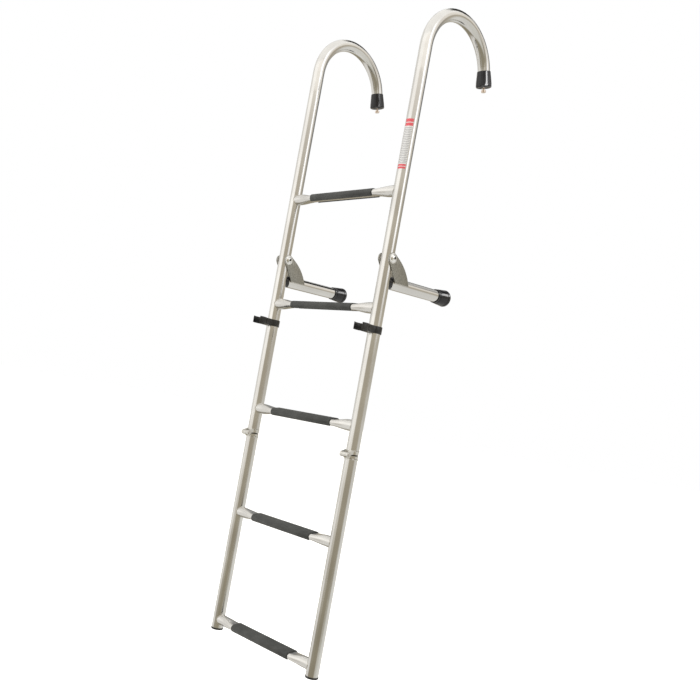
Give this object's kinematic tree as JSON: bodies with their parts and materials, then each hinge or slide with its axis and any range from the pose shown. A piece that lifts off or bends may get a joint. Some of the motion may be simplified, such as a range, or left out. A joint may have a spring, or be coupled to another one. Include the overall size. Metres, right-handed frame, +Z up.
{
  "type": "boat boarding ladder",
  "caption": "Hook-over boat boarding ladder with round steel rails, treaded rungs, a folding lower section and fold-up hull standoffs.",
  "frame": {"origin": "midway between the two hooks, on the inside of their crowns, where the ladder hangs on the gunwale", "axes": "+Z up, +Y from the climber towards the boat, X along the rungs, with the right rail at +X"},
  "size_m": [0.3392, 0.2564, 1.332],
  "materials": {
    "tube_steel": "polished",
    "fitting_steel": "polished",
    "plate_steel": "satin",
    "tread_plastic": "finely ribbed",
    "cap_plastic": "glossy",
    "clip_plastic": "semi-gloss",
    "stud_brass": "pale, polished",
    "foot_rubber": "matt",
    "tip_rubber": "semi-gloss moulded",
    "washer_plastic": "matt",
    "label": "printed film, plain"
  },
  "bodies": {
    "root": {"left_upper_rail": "tube_steel", "right_upper_rail": "tube_steel", "rung_1": "tube_steel", "rung_2": "tube_steel", "rung_3": "tube_steel", "tread_1": "tread_plastic", "tread_2": "tread_plastic", "tread_3": "tread_plastic", "left_hook_cap": "cap_plastic", "right_hook_cap": "cap_plastic", "left_deck_stud": "stud_brass", "right_deck_stud": "stud_brass", "left_upper_hinge": "fitting_steel", "right_upper_hinge": "fitting_steel", "hinge_pins": "fitting_steel", "left_storage_clip": "clip_plastic", "right_storage_clip": "clip_plastic", "pivot_barrels": "fitting_steel", "pivot_screws": "fitting_steel", "pivot_washers": "washer_plastic", "rail_label": "label"},
    "lower_section": {"left_lower_rail": "tube_steel", "right_lower_rail": "tube_steel", "rung_4": "tube_steel", "rung_5": "tube_steel", "tread_4": "tread_plastic", "tread_5": "tread_plastic", "left_lower_hinge": "fitting_steel", "right_lower_hinge": "fitting_steel", "left_foot_plug": "foot_rubber", "right_foot_plug": "foot_rubber"},
    "left_standoff": {"left_standoff_tube": "tube_steel", "left_standoff_plates": "plate_steel", "left_standoff_saddle": "tip_rubber", "left_standoff_tip": "tip_rubber"},
    "right_standoff": {"right_standoff_tube": "tube_steel", "right_standoff_plates": "plate_steel", "right_standoff_saddle": "tip_rubber", "right_standoff_tip": "tip_rubber"}
  },
  "joints": [
    {"name": "lower_fold", "type": "hinge", "parent": "root", "child": "lower_section", "pos_m": [0, -0.1135, -0.8785], "axis": [-1, 0, 0], "range_deg": [0, 180]},
    {"name": "left_standoff_fold", "type": "hinge", "parent": "root", "child": "left_standoff", "pos_m": [-0.15, -0.095, -0.4977], "axis": [1, 0, 0], "range_deg": [0, 90]},
    {"name": "right_standoff_fold", "type": "hinge", "parent": "root", "child": "right_standoff", "pos_m": [0.15, -0.095, -0.4977], "axis": [1, 0, 0], "range_deg": [0, 90]}
  ]
}
